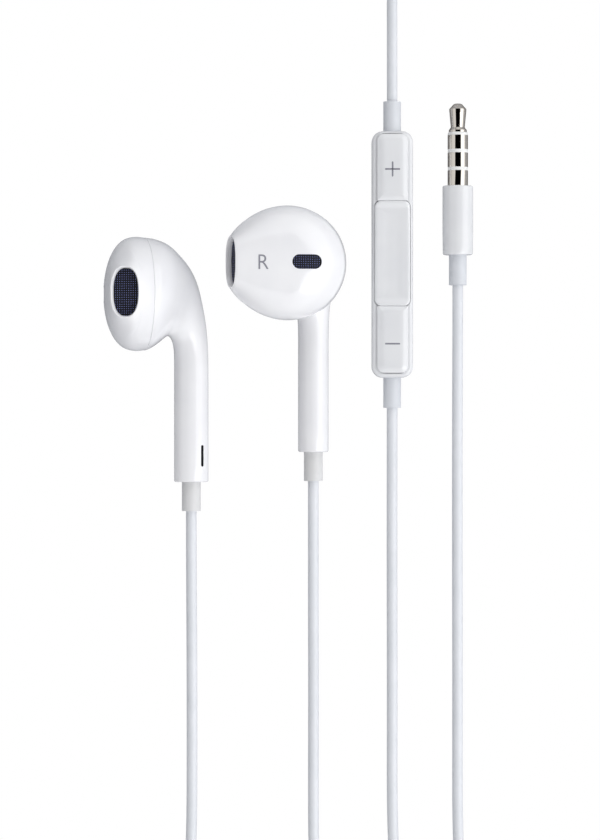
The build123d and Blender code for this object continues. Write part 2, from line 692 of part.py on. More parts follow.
# ---------------------------------------------------------------- cords
# Every route is a list of chosen points, and the tube runs straight between them, with an arc
# at each point as large as its two runs allow.
floor = cord_radius
layer_two = 3 * cord_radius + 0.02
left_exit = (left_bud_at[0], left_bud_at[1] + stem_end - bud_collar_length, left_axis_height)
right_exit = (right_bud_at[0], right_bud_at[1] + stem_end - bud_collar_length,
              right_axis_height)
remote_top = remote_at[1] + remote_length / 2 + collar_length
remote_bottom = remote_at[1] - remote_length / 2 - collar_length
plug_exit = (plug_tip_at[0], plug_tip_at[1] - relief_end, housing_radius)
routes = {
    "left_cord": [
        left_exit,
        (-11.5, -42.5, left_axis_height - 0.2),
        (-11.5, -55.0, 1.1),
        (-11.45, -73.0, floor),
        (-11.5, -95.0, floor),
        (-12.9, -103.5, floor),
        (-14.0, -110.7, floor),
    ],
    "left_cord_tail": [
        (10.4, -113.5, layer_two),
        (10.4, -108.1, layer_two - 0.2),
        (14.05, -104.5, 2.1),
        (19.15, -104.5, 1.5),
        (22.8, -108.1, 1.35),
        (22.8, splitter_at[1], splitter_height),
    ],
    "right_cord": [
        right_exit,
        (9.5, -37.5, 2.85),
        (9.5, -51.0, 1.0),
        (9.55, -68.0, floor),
        (9.5, -85.0, floor),
        (9.6, -97.0, floor),
        (14.8, -102.3, 2.3),
        (21.5, -102.6, 5.0),
        (37.0, -102.3, 5.0),
        (46.0, -102.7, 2.4),
        (54.5, -101.0, floor),
        (60.6, -94.0, floor),
        (62.1, -84.0, floor),
        (61.6, -66.0, floor),
        (62.1, -36.0, floor),
        (61.6, 0.0, floor),
        (62.1, 24.0, floor),
        (62.0, 40.0, floor),
        (62.1, 50.5, floor),
        (60.0, 60.0, floor),
        (53.8, 67.0, floor),
        (44.5, 69.5, floor),
        (34.5, 69.2, floor),
        (26.9, 65.8, floor),
        (23.1, 58.5, floor),
        (23.1, 44.5, 1.9),
        (remote_at[0], remote_top, remote_exit_height),
    ],
    "remote_cord": [
        (remote_at[0], remote_bottom, remote_exit_height),
        (23.1, -27.0, 1.85),
        (23.1, -42.0, floor),
        (23.15, -66.0, floor),
        (23.1, -92.0, floor),
        (24.3, -103.0, floor),
        (24.7, splitter_at[1], splitter_height),
    ],
    "main_cord": [
        plug_exit,
        (34.4, -5.0, 2.5),
        (34.4, -20.0, 1.0),
        (34.4, -42.0, floor),
        (34.45, -68.0, floor),
        (34.4, -94.0, floor),
        (35.7, -108.0, floor),
        (36.15, -121.0, floor),
    ],
    "main_cord_tail": [
        (36.15, -122.5, layer_two),
        (36.15, -130.4, 2.0),
        (32.52, -134.05, 1.2),
        (27.38, -134.05, floor),
        (23.75, -130.4, 1.2),
        (splitter_at[0], splitter_end, splitter_height),
    ],
}


def corner_radii(points):
    """The radius at each inner point: 0.45 of the shorter run over the tangent of half the turn."""
    radii = []
    for before, here, after in zip(points, points[1:], points[2:]):
        arriving = Vector(*here) - Vector(*before)
        leaving = Vector(*after) - Vector(*here)
        half_turn = math.radians(arriving.get_angle(leaving)) / 2
        radii.append(0.45 * min(arriving.length, leaving.length) / math.tan(half_turn))
    return radii


for cord_name, route in routes.items():
    radii = corner_radii(route)
    with BuildLine() as centreline:
        FilletPolyline(*route, radius=radii)
    path = centreline.wires()[0]
    with BuildPart() as cord:
        with BuildSketch(Plane(path @ 0, z_dir=path % 0)):
            Circle(cord_radius)
        sweep(path=path)
    length = path.length
    ratio = cord.part.volume / (length * math.pi * cord_radius**2)
    print(f"{cord_name}: {length:.1f} mm, volume ratio {ratio:.4f}, radii in diameters",
          [round(r / cord_diameter, 1) for r in radii])
    write(cord.part, cord_name)


def coil_ring(centre, outer_turn_radius, turns):
    """The outer shape of a neat coil of two layers."""
    outer = outer_turn_radius + cord_radius + 0.05
    inner = outer_turn_radius - turns * turn_pitch - cord_radius - 0.05
    with BuildPart() as ring:
        with BuildSketch():
            with Locations(centre):
                Circle(outer)
                Circle(inner, mode=Mode.SUBTRACT)
        extrude(amount=layer_two + cord_radius)
        fillet(ring.edges().filter_by(GeomType.CIRCLE), 0.8)
    return ring.part


write(coil_ring(left_coil_centre, left_coil_radius, left_coil_turns), "left_coil")
write(coil_ring(main_coil_centre, main_coil_radius, main_coil_turns), "main_coil")
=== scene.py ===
# %% [markdown]
# # Wired earphones in Blender
# The CAD model gives every piece its size and place. This file dresses it: smooth bud shells,
# soft cords, crowned keys, woven mesh, bright contacts, a white backdrop and soft light.
# Lengths below are in millimetres and are turned to metres by one factor.

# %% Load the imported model
import json
import math

import bmesh
import bpy
from mathutils import Matrix, Vector
from mathutils.bvhtree import BVHTree

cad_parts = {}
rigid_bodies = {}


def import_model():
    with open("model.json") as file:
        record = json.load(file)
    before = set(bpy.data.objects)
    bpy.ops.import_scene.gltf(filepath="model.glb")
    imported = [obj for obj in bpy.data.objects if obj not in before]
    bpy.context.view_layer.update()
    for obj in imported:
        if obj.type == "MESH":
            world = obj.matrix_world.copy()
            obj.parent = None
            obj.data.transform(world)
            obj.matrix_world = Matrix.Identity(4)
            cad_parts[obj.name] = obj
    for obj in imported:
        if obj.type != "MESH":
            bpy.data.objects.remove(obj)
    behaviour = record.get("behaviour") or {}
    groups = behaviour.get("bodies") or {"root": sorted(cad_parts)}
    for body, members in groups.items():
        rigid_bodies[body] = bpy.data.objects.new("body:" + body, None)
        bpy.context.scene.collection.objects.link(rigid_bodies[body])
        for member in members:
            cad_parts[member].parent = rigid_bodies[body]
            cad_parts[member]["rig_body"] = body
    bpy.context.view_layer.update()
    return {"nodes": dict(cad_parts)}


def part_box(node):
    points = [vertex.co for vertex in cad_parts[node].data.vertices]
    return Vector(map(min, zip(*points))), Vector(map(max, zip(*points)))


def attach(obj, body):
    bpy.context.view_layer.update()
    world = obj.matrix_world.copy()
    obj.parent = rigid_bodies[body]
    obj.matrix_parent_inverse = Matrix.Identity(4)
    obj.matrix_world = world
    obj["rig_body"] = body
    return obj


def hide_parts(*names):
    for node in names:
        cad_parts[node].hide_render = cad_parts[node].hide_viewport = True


MM = 0.001
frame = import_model()
nodes = frame["nodes"]

# %% [markdown]
# ## The camera
# A flat lay is shot from straight above. A long lens keeps the perspective weak, so the tall
# buds lean outwards only a little. The sensor's height sets how much of the table shows.

# %% Camera
view_middle = (7.2, -19.6)
view_height = 144.8
camera_distance = 600.0
aim_height = 2.6
lens = bpy.data.cameras.new("camera")
lens.sensor_fit = "VERTICAL"
lens.sensor_height = 24.0
lens.lens = lens.sensor_height * camera_distance / view_height
lens.clip_start = 0.01
camera = bpy.data.objects.new("camera", lens)
camera.location = (view_middle[0] * MM, view_middle[1] * MM, (camera_distance + aim_height) * MM)
bpy.context.scene.collection.objects.link(camera)
bpy.context.scene.camera = camera
print("camera lens", round(lens.lens, 1))

# %% [markdown]
# ## The cords
# Each cord is one soft elastomer jacket over thin wires, 1.85 mm thick. It is a NURBS curve
# with a round bevel, so it bends as smoothly as the real one lies. The control points follow
# the CAD route, and the put-away length is wound as neat turns, each beside or on the last.

# %% Cord helpers
cord_diameter = 1.85
cord_radius = cord_diameter / 2
turn_pitch = 1.87  # from one turn of a coil to the next beside it
upper_layer = 3 * cord_radius + 0.02  # height of the line of a turn that lies on another
# Each coil: middle, radius of the outermost turn, and turns in its lower layer.
small_coil = ((-1.8, -110.7), 12.2, 3)
large_coil = ((50.95, -121.0), 14.8, 4)


def middle_of(node):
    low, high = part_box(node)
    return (low + high) / 2 / MM


def coil_points(centre, outer_radius, lower_turns, upper_turns, start_degrees):
    """Turns that wind inwards on the table, climb, and wind outwards on top of themselves."""
    per_turn = 20
    # The line cuts inside its control points, so they stand a little further out.
    stretch = 1 / math.cos(math.pi / per_turn)
    points = []
    lower = int(per_turn * lower_turns)
    total = int(per_turn * (lower_turns + upper_turns))
    climb = per_turn // 4
    for i in range(total + 1):
        angle = math.radians(start_degrees + 360 * i / per_turn)
        inward = outer_radius - turn_pitch * i / per_turn
        outward = outer_radius - turn_pitch * (total - i) / per_turn
        if i <= lower:
            radius, height = inward, cord_radius
        elif i < lower + climb:
            share = (i - lower) / climb
            first = outer_radius - turn_pitch * lower_turns
            last = outer_radius - turn_pitch * (total - lower - climb) / per_turn
            radius = first + (last - first) * share
            height = cord_radius + (upper_layer - cord_radius) * share
        else:
            radius, height = outward, upper_layer
        radius *= stretch
        points.append((centre[0] + radius * math.cos(angle),
                       centre[1] + radius * math.sin(angle), height))
    return points


def make_cord(name, points, smoothness):
    """A round NURBS cord. Smoothness is the steps from one control point to the next."""
    curve = bpy.data.curves.new(name, "CURVE")
    curve.dimensions = "3D"
    spline = curve.splines.new("NURBS")
    spline.points.add(len(points) - 1)
    for point, place in zip(spline.points, points):
        point.co = (place[0] * MM, place[1] * MM, place[2] * MM, 1)
        # A curve's box grows by its points' radius, so the radius carries the cord's size.
        point.radius = cord_radius * MM
    spline.order_u = 3
    spline.use_endpoint_u = True
    curve.resolution_u = smoothness
    curve.bevel_depth = 1.0  # times each point's radius
    curve.bevel_resolution = 5
    curve.use_fill_caps = True
    piece = bpy.data.objects.new(name, curve)
    bpy.context.scene.collection.objects.link(piece)
    print(name, "has", len(points), "control points")
    return piece


# %% Left ear's cord, from the left bud round the small coil to the splitter
left_collar = middle_of("left_strain_relief")
right_collar = middle_of("right_strain_relief")
left_stem_height = left_collar[2]
right_stem_height = right_collar[2]
splitter_low, splitter_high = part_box("splitter")
splitter_x = (splitter_low[0] + splitter_high[0]) / 2 / MM
splitter_top = splitter_high[1] / MM
splitter_bottom = splitter_low[1] / MM
splitter_height = (splitter_low[2] + splitter_high[2]) / 2 / MM
left_exit = (left_collar[0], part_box("left_strain_relief")[0][1] / MM, left_stem_height)
left_points = [
    left_exit,
    (-11.5, -42.5, left_stem_height - 0.2),
    (-11.5, -55.0, 1.1),
    (-11.45, -73.0, cord_radius),
    (-11.5, -95.0, cord_radius),
    (-12.9, -103.5, cord_radius),
]
left_points += coil_points(*small_coil, 3.5, 180)
left_points += [
    (10.4, -108.1, upper_layer - 0.2),
    (14.05, -104.5, 2.1),
    (19.15, -104.5, 1.5),
    (22.8, -108.1, 1.35),
    (22.8, splitter_top, splitter_height),
]
left_cord = make_cord("left_ear_cord", left_points, 5)

# %% Right ear's cord, round the outside to the top of the remote
remote_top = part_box("remote_upper_strain_relief")[1][1] / MM
remote_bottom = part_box("remote_lower_strain_relief")[0][1] / MM
remote_x = middle_of("remote_upper_strain_relief")[0]
remote_exit_height = middle_of("remote_upper_strain_relief")[2]
right_exit = (right_collar[0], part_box("right_strain_relief")[0][1] / MM, right_stem_height)
right_points = [
    right_exit,
    (9.5, -37.5, 2.85),
    (9.5, -51.0, 1.0),
    (9.55, -68.0, cord_radius),
    (9.5, -85.0, cord_radius),
    (9.6, -97.0, cord_radius),
    (14.8, -102.3, 2.3),
    (21.5, -102.6, 5.0),
    (37.0, -102.3, 5.0),
    (46.0, -102.7, 2.4),
    (54.5, -101.0, cord_radius),
    (60.6, -94.0, cord_radius),
    (62.1, -84.0, cord_radius),
    (61.6, -66.0, cord_radius),
    (62.1, -36.0, cord_radius),
    (61.6, 0.0, cord_radius),
    (62.1, 24.0, cord_radius),
    (62.0, 40.0, cord_radius),
    (62.1, 50.5, cord_radius),
    (60.0, 60.0, cord_radius),
    (53.8, 67.0, cord_radius),
    (44.5, 69.5, cord_radius),
    (34.5, 69.2, cord_radius),
    (26.9, 65.8, cord_radius),
    (23.1, 58.5, cord_radius),
    (23.1, 44.5, 1.9),
    (remote_x, remote_top, remote_exit_height),
]
right_cord = make_cord("right_ear_cord", right_points, 16)

# %% The remote's lower cord, and the main cord from the splitter round the large coil
remote_exit = (remote_x, remote_bottom, remote_exit_height)
remote_points = [
    remote_exit,
    (23.1, -27.0, 1.85),
    (23.1, -42.0, cord_radius),
    (23.15, -66.0, cord_radius),
    (23.1, -92.0, cord_radius),
    (24.3, -103.0, cord_radius),
    (24.7, splitter_top, splitter_height),
]
remote_cord = make_cord("remote_lower_cord", remote_points, 16)

plug_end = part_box("plug_strain_relief")[0][1] / MM
plug_x, _, plug_height = middle_of("plug_strain_relief")
main_exit = (splitter_x, splitter_bottom, splitter_height)
main_points = [
    main_exit,
    (23.75, -130.4, 1.2),
    (27.38, -134.05, cord_radius),
    (32.52, -134.05, 1.2),
    (36.15, -130.4, 2.0),
]
main_points += reversed(coil_points(*large_coil, 4, 180))
main_points += [
    (35.7, -108.0, cord_radius),
    (34.4, -94.0, cord_radius),
    (34.45, -68.0, cord_radius),
    (34.4, -42.0, cord_radius),
    (34.4, -20.0, 1.0),
    (34.4, -5.0, 2.5),
    (plug_x, plug_end, plug_height),
]
main_cord = make_cord("main_cord_line", main_points, 5)

# %% [markdown]
# ## Modelling helpers
# Most new pieces here are lofts, as a mould maker thinks of them: an outline that changes as
# it moves. A circle is added, its points are set on the first outline, and its edges are
# extruded from outline to outline. That gives clean rows of four-sided faces.


# %% Grow a piece from outline to outline
def select_only(piece):
    bpy.ops.object.select_all(action="DESELECT")
    piece.select_set(True)
    bpy.context.view_layer.objects.active = piece


def grow(name, outlines, close_first=True, close_last=True):
    """Extrudes a circle's edges through outlines of as many points, in millimetres."""
    bpy.ops.object.select_all(action="DESELECT")
    bpy.ops.mesh.primitive_circle_add(vertices=len(outlines[0]), radius=MM)
    piece = bpy.context.object
    piece.name = piece.data.name = name
    bpy.ops.object.mode_set(mode="EDIT")
    bpy.ops.mesh.select_mode(type="VERT")
    bpy.ops.mesh.select_all(action="SELECT")
    mesh = bmesh.from_edit_mesh(piece.data)
    mesh.verts.ensure_lookup_table()
    known = {}
    for i, place in enumerate(outlines[0]):
        mesh.verts[i].co = Vector(place) * MM
        known[tuple(mesh.verts[i].co)] = i
    if close_first:
        bpy.ops.mesh.edge_face_add()
    for outline in outlines[1:]:
        bpy.ops.mesh.extrude_edges_indiv()
        mesh = bmesh.from_edit_mesh(piece.data)
        fresh = {}
        for vert in mesh.verts:
            if vert.select:
                i = known[tuple(vert.co)]
                vert.co = Vector(outline[i]) * MM
                fresh[tuple(vert.co)] = i
        known = fresh
    if close_last:
        bpy.ops.mesh.edge_face_add()
    bpy.ops.mesh.select_all(action="SELECT")
    bpy.ops.mesh.normals_make_consistent(inside=False)
    bpy.ops.object.mode_set(mode="OBJECT")
    return piece


def smooth(piece, degrees=32):
    select_only(piece)
    bpy.ops.object.shade_smooth_by_angle(angle=math.radians(degrees))


def apply_modifiers(piece):
    select_only(piece)
    for modifier in list(piece.modifiers):
        bpy.ops.object.modifier_apply(modifier=modifier.name)


def cut_away(piece, cutter):
    """Cuts the cutter's shape out of the piece and removes the cutter."""
    modifier = piece.modifiers.new("cut", "BOOLEAN")
    modifier.operation = "DIFFERENCE"
    modifier.solver = "EXACT"
    modifier.object = cutter
    apply_modifiers(piece)
    bpy.data.objects.remove(cutter)


def eased(stations, steps):
    """Rows of numbers, and smooth rows between them, by a curve through every row."""
    rows = []
    last = len(stations) - 1
    for i in range(last):
        before = stations[max(i - 1, 0)]
        here, there = stations[i], stations[i + 1]
        after = stations[min(i + 2, last)]
        for k in range(steps):
            t = k / steps
            row = []
            for a, b, c, d in zip(before, here, there, after):
                start_slope = (c - a) / 2 if i > 0 else (c - b)
                end_slope = (d - b) / 2 if i + 1 < last else (c - b)
                row.append((2 * t**3 - 3 * t**2 + 1) * b + (t**3 - 2 * t**2 + t) * start_slope
                           + (3 * t**2 - 2 * t**3) * c + (t**3 - t**2) * end_slope)
            rows.append(row)
    rows.append(list(stations[-1]))
    return rows


# %% [markdown]
# ## The bud's front cap
# On the real bud this is one glossy moulding: a low dome whose side swings up into the oval
# nozzle. Its outlines are ovals that fan from the seam round to the nozzle's face, so the
# highlights flow over it without a break. It is modelled once, on the bud's own axes: x to
# the nozzle's side, y up the stem and z out of the front.

# %% Front cap
around = 128  # points round an outline
seam_z = 8.99
seam_half_height = 9.6
seam_crown_x, seam_chin_x = -5.55, 13.55
rim_wall = 1.0  # width of the cap's and shell's edges where they meet
# How far the seam's edges are eased in, at its face and just behind it.
seam_ease, seam_ease_behind = 0.07, 0.02
cap_stations = [
    # crown x, z, chin x, z, half height
    (seam_crown_x, 9.1, seam_chin_x, 9.1, seam_half_height),
    (-4.9, 11.6, 13.9, 9.7, 9.7),
    (-2.7, 14.0, 14.2, 10.3, 9.4),
    (0.8, 15.45, 14.45, 10.8, 8.65),
    (5.0, 16.05, 14.6, 11.2, 7.5),
    (9.1, 16.35, 14.7, 11.5, 6.05),
    (12.95, 16.5, 14.8, 11.7, 4.45),
]


def cap_outline(crown_x, crown_z, chin_x, chin_z, half_height, inset=0.0, sink=0.0,
                points=around):
    """An oval from crown to chin, drawn in by inset and pushed inwards by sink.

    It is an ellipse while longer than round_length, and squarer the shorter it gets."""
    round_length, squaring_span, most_squareness = 12.0, 7.0, 0.24
    length = math.hypot(chin_x - crown_x, chin_z - crown_z)
    along = ((chin_x - crown_x) / length, (chin_z - crown_z) / length)
    inwards = (along[1], -along[0])
    half = length / 2 - inset
    squareness = min(max((round_length - length) / squaring_span, 0.0), 1.0)
    power = 1 / (1 + most_squareness * squareness)
    outline = []
    for i in range(points):
        angle = 2 * math.pi * i / points
        reach = half * math.copysign(abs(math.cos(angle)) ** power, math.cos(angle))
        rise = math.copysign(abs(math.sin(angle)) ** power, math.sin(angle))
        outline.append((
            (crown_x + chin_x) / 2 + along[0] * reach + inwards[0] * sink,
            (half_height - inset) * rise,
            (crown_z + chin_z) / 2 + along[1] * reach + inwards[1] * sink,
        ))
    return outline


cap_rows = eased(cap_stations, 7)
face = cap_stations[-1]
# The closed back stands clear of the speaker's cone. Then come the edge and its easing.
cap_edge = (seam_crown_x, seam_z, seam_chin_x, seam_z, seam_half_height)
behind_z = 9.02
cap_outlines = [cap_outline(-5.3, 10.6, 13.3, 10.6, 9.5, inset=1.9),
                cap_outline(*cap_edge, inset=rim_wall), cap_outline(*cap_edge, inset=seam_ease),
                cap_outline(seam_crown_x, behind_z, seam_chin_x, behind_z, seam_half_height,
                            inset=seam_ease_behind)]
cap_outlines += [cap_outline(*row) for row in cap_rows[:-1]]
# The nozzle's rim: a rounded outer edge, a narrow flat, a chamfer and the wall down to the mesh.
for inset, sink in ((0.03, -0.02), (0.09, -0.1), (0.17, -0.13), (0.24, -0.1), (0.34, 0.1),
                    (0.42, 0.34), (0.45, 0.6), (0.46, 1.0), (0.46, 1.6)):
    cap_outlines.append(cap_outline(*face, inset=inset, sink=sink))
front_cap = grow("front_cap_pattern", cap_outlines)
nozzle_mesh = grow("nozzle_mesh_pattern", [
    cap_outline(*face, inset=inset, sink=sink, points=64)
    for inset, sink in ((0.4, 1.1), (0.4, 0.8), (0.9, 0.78), (1.5, 0.77), (2.1, 0.77))])
print("front cap has", len(front_cap.data.polygons), "faces")

# %% [markdown]
# ## The rear shell and stem
# The back of the bud is a bowl that narrows, bends and becomes the straight stem. Its
# outlines turn with it, from facing forwards at the seam to facing down the stem.

# %% Rear shell
shell_stations = [
    # back z, y, inside z, y, half width, offset
    (8.9, 9.6, 8.9, -9.6, 9.55, 4.0),
    (7.2, 9.35, 7.8, -9.15, 9.3, 3.8),
    (4.9, 8.5, 6.4, -8.25, 8.3, 3.1),
    (2.7, 6.75, 5.35, -7.5, 7.0, 2.25),
    (0.65, 4.5, 4.55, -7.1, 5.6, 1.45),
    (-0.85, 1.7, 3.95, -7.2, 4.4, 0.8),
    (-1.85, -1.9, 3.45, -7.8, 3.55, 0.35),
    (-2.5, -5.2, 3.1, -9.0, 2.95, 0.1),
    (-2.85, -8.9, 2.97, -10.9, 2.68, 0.0),
    (-2.955, -13.0, 2.965, -13.0, 2.62, 0.0),
]
stem_end = -32.1


def shell_outline(back_z, back_y, inside_z, inside_y, half_width, offset, inset=0.0, drop=0.0):
    """An ellipse from back to inside, drawn in by inset and moved down the stem by drop."""
    length = math.hypot(inside_z - back_z, inside_y - back_y)
    along = ((inside_z - back_z) / length, (inside_y - back_y) / length)
    half = length / 2 - inset
    outline = []
    for i in range(around):
        angle = 2 * math.pi * i / around
        reach = half * math.cos(angle)
        outline.append((
            offset + (half_width - inset) * math.sin(angle),
            (back_y + inside_y) / 2 + along[1] * reach - drop,
            (back_z + inside_z) / 2 + along[0] * reach,
        ))
    return outline


# The first outline is the closed front, set back from the speaker's cone.
shell_edge = (seam_z, seam_half_height, seam_z, -seam_half_height, 9.55, 4.0)
shell_outlines = [shell_outline(6.2, 7.6, 6.2, -7.4, 7.6, 3.9),
                  shell_outline(*shell_edge, inset=rim_wall),
                  shell_outline(*shell_edge, inset=seam_ease),
                  shell_outline(8.97, seam_half_height, 8.97, -seam_half_height, 9.55, 4.0,
                                inset=seam_ease_behind)]
shell_outlines += [shell_outline(*row) for row in eased(shell_stations, 6)]
stem_row = shell_stations[-1]
stem_length = stem_row[1] - stem_end
for share in (0.12, 0.3, 0.5, 0.7, 0.85):
    shell_outlines.append(shell_outline(*stem_row, drop=stem_length * share))
# The stem's end: a rounded edge, then a flat.
for inset, rise in ((0.0, 0.3), (0.03, 0.16), (0.1, 0.06), (0.22, 0.01), (0.34, 0.0), (1.1, 0.0)):
    shell_outlines.append(shell_outline(*stem_row, inset=inset, drop=stem_length - rise))
rear_shell = grow("rear_shell_pattern", shell_outlines)
print("rear shell has", len(rear_shell.data.polygons), "faces")

# %% [markdown]
# ## Vents in the shells
# A bud breathes through a slot in its cap and a thin slit near the stem's end, both backed by
# woven mesh. A cutter of the slot's shape is taken out of the closed shell with a Boolean, and
# the mesh behind it is laid on the shell's own surface, a little below it.


# %% Slot outlines and the surface they lie on
def slot_outline(length, width, count=48, height=0.0):
    """A slot with round ends, as points round its edge."""
    radius = width / 2
    outline = []
    for i in range(count):
        angle = 2 * math.pi * (i + 0.5) / count
        shift = (length / 2 - radius) * (1 if math.cos(angle) > 0 else -1)
        outline.append((shift + radius * math.cos(angle), radius * math.sin(angle), height))
    return outline


def surface_of(piece):
    mesh = piece.data
    return BVHTree.FromPolygons([v.co.copy() for v in mesh.vertices],
                                [tuple(p.vertices) for p in mesh.polygons])


def laid_on(surface, x, y, lift):
    """The place straight below (x, y) on a surface, in millimetres, lifted off it."""
    above_all = 40
    place, normal, _, _ = surface.ray_cast(Vector((x, y, above_all)) * MM, Vector((0, 0, -1)))
    return (place + normal * lift * MM) / MM


cap_surface = surface_of(front_cap)
vent_middle = (1.05, 0.0)
vent_size = (5.1, 2.45)
vent_height = laid_on(cap_surface, *vent_middle, 0)[2]
# The cap's slope under the vent, from its height at two places on a line along x.
slope_from, slope_to, slope_y = -0.3, 2.2, 0.2
slope_rise = (laid_on(cap_surface, slope_to, slope_y, 0)[2]
              - laid_on(cap_surface, slope_from, slope_y, 0)[2])
vent_slope = math.atan2(slope_rise, slope_to - slope_from)
vent_turn = (Matrix.Translation((*vent_middle, vent_height))
             @ Matrix.Rotation(-vent_slope, 4, "Y"))


def turned_outline(matrix, outline):
    return [tuple(matrix @ Vector(place)) for place in outline]


# %% Cap vent: the slot and its mesh
cutter = grow("vent_cutter", [turned_outline(vent_turn, slot_outline(*vent_size, height=h))
                              for h in (-1.1, 2.0)])
cut_away(front_cap, cutter)
vent_rows = []
mesh_lift = -0.17  # the mesh lies this far below the cap
for share, lift in ((1.03, -0.6), (1.03, mesh_lift), (0.85, mesh_lift), (0.65, mesh_lift),
                    (0.42, mesh_lift), (0.2, mesh_lift), (0.05, mesh_lift)):
    flat = slot_outline(vent_size[0] * share, vent_size[1] * share)
    vent_rows.append([tuple(laid_on(cap_surface, x, y, lift))
                      for x, y, _ in turned_outline(vent_turn, flat)])
cap_vent = grow("cap_vent_pattern", vent_rows)
print("vent slope", round(math.degrees(vent_slope), 1), "height", round(vent_height, 2))

# %% Stem slit
slit_middle = (2.5, -27.6, -1.47)
slit_size = (3.7, 0.5)
slit_turn = Matrix.Translation(slit_middle) @ Matrix.Rotation(math.radians(90), 4, "Y")
slit_turn = slit_turn @ Matrix.Rotation(math.radians(90), 4, "Z")
cutter = grow("slit_cutter", [turned_outline(slit_turn, slot_outline(*slit_size, 24, height=h))
                              for h in (-0.6, 0.6)])
cut_away(rear_shell, cutter)
for piece in (front_cap, rear_shell, cap_vent, nozzle_mesh):
    smooth(piece, 35)
print("slit cut; shell has", len(rear_shell.data.polygons), "faces")

# %% [markdown]
# ## Finishes
# White ABS from a polished mould is nearly mirror smooth, with a faint wave in its highlights.
# The cords' elastomer is satin and slightly blue. The mesh is dark woven thread, the contacts
# are nickel with fine turning lines, and the marks are grey pad-printed ink.


# %% Node and colour helpers
def colour(text):
    """A linear colour from an sRGB hex code."""
    channels = [int(text[i:i + 2], 16) / 255 for i in (1, 3, 5)]
    return (*[c / 12.92 if c <= 0.04045 else ((c + 0.055) / 1.055) ** 2.4 for c in channels], 1)


def add_node(tree, kind, inputs=None, links=None, **settings):
    """Adds a node, sets it, and links {its input: (other node, other's output)}."""
    node = tree.nodes.new(kind)
    for name, value in settings.items():
        setattr(node, name, value)
    for name, value in (inputs or {}).items():
        node.inputs[name].default_value = value
    for name, (source, output) in (links or {}).items():
        tree.links.new(source.outputs[output], node.inputs[name])
    return node


def new_finish(name):
    material = bpy.data.materials.new(name)
    material.use_nodes = True
    material.node_tree.nodes.clear()
    return material, material.node_tree


wave_scale = 0.314  # a wave texture's Scale for one band per unit of length


def moulded(name, darker, lighter, grain, wave, **shader):
    """A moulded finish: two close colours in soft clouds, and a fine bump of one grain."""
    cloud_size, bump_height = 6 * MM, 0.02 * MM
    material, tree = new_finish(name)
    place = add_node(tree, "ShaderNodeTexCoord")
    clouds = add_node(tree, "ShaderNodeTexNoise", {"Scale": 1 / cloud_size, "Detail": 2.0},
                      {"Vector": (place, "Object")})
    tint = add_node(tree, "ShaderNodeValToRGB", links={"Fac": (clouds, "Fac")})
    tint.color_ramp.elements[0].color = colour(darker)
    tint.color_ramp.elements[0].position = 0.3
    tint.color_ramp.elements[1].color = colour(lighter)
    tint.color_ramp.elements[1].position = 0.7
    fine = add_node(tree, "ShaderNodeTexNoise", {"Scale": 1 / (grain * MM), "Detail": 3.0},
                    {"Vector": (place, "Object")})
    bump = add_node(tree, "ShaderNodeBump", {"Strength": wave, "Distance": bump_height},
                    {"Height": (fine, "Fac")})
    surface = add_node(tree, "ShaderNodeBsdfPrincipled", shader,
                       {"Base Color": (tint, "Color"), "Normal": (bump, "Normal")})
    add_node(tree, "ShaderNodeOutputMaterial", links={"Surface": (surface, "BSDF")})
    return material


# %% Plastics and elastomers
# Polished white ABS of the buds: a clear hard gloss over a near white.
white_abs = moulded("polished_white_ABS", "#F3F3F6", "#F7F7F9", 1.6, 0.05,
                    Roughness=0.12, IOR=1.5, **{"Coat Weight": 0.3, "Coat Roughness": 0.06})
# Bare ABS inside the nozzle, unpolished: warmer and duller.
bare_abs = moulded("bare_ABS", "#F1EBE2", "#F5F0E9", 0.3, 0.3, Roughness=0.5, IOR=1.5)
# The remote, its keys and the plug's housing: the same plastic, a little duller, with its colour
# painted a little greyer: painted shade for the dimmer light on their flat faces.
painted_shade_abs = moulded("white_ABS_painted_shade", "#E6E7EA", "#EBECEE", 1.6, 0.05,
                  Roughness=0.18, IOR=1.5, **{"Coat Weight": 0.3, "Coat Roughness": 0.08})
# Cord jacket: satin TPE with a fine even grain that spreads its highlight.
cord_tpe = moulded("satin_TPE_jacket", "#DFE2E7", "#E5E7EC", 0.18, 0.35,
                   Roughness=0.42, IOR=1.5, **{"Sheen Weight": 0.05})
bud_tpe = moulded("soft_TPE_warm_grey", "#DADADA", "#E0E0E1", 0.18, 0.4, Roughness=0.45, IOR=1.5)
collar_tpe = moulded("soft_TPE_cool_grey", "#D6D9DF", "#DDE0E5", 0.18, 0.4, Roughness=0.45,
                     IOR=1.5)
insulator_white = moulded("white_nylon", "#EDEDEC", "#F6F6F5", 0.2, 0.15, Roughness=0.35, IOR=1.53)
print_grey = moulded("pad_printed_grey_ink", "#85858F", "#8F8F99", 0.1, 0.3, Roughness=0.5,
                     IOR=1.5)
black_plastic = moulded("moulded_black_ABS", "#17171A", "#202024", 0.25, 0.3, Roughness=0.45,
                        IOR=1.5)
solder_mask = moulded("green_solder_mask", "#0E3B22", "#12482A", 0.4, 0.15, Roughness=0.3,
                      IOR=1.5)
film = moulded("clear_PET_film", "#B9BEC6", "#C8CCD3", 0.8, 0.1, Roughness=0.15, IOR=1.57)
enamelled_copper = moulded("enamelled_copper", "#A8552E", "#C06A3C", 0.12, 0.6, Roughness=0.28,
                           Metallic=1.0)
plated_steel = moulded("nickel_plated_steel", "#A9A9AC", "#B9B9BC", 0.3, 0.2, Roughness=0.25,
                       Metallic=1.0)


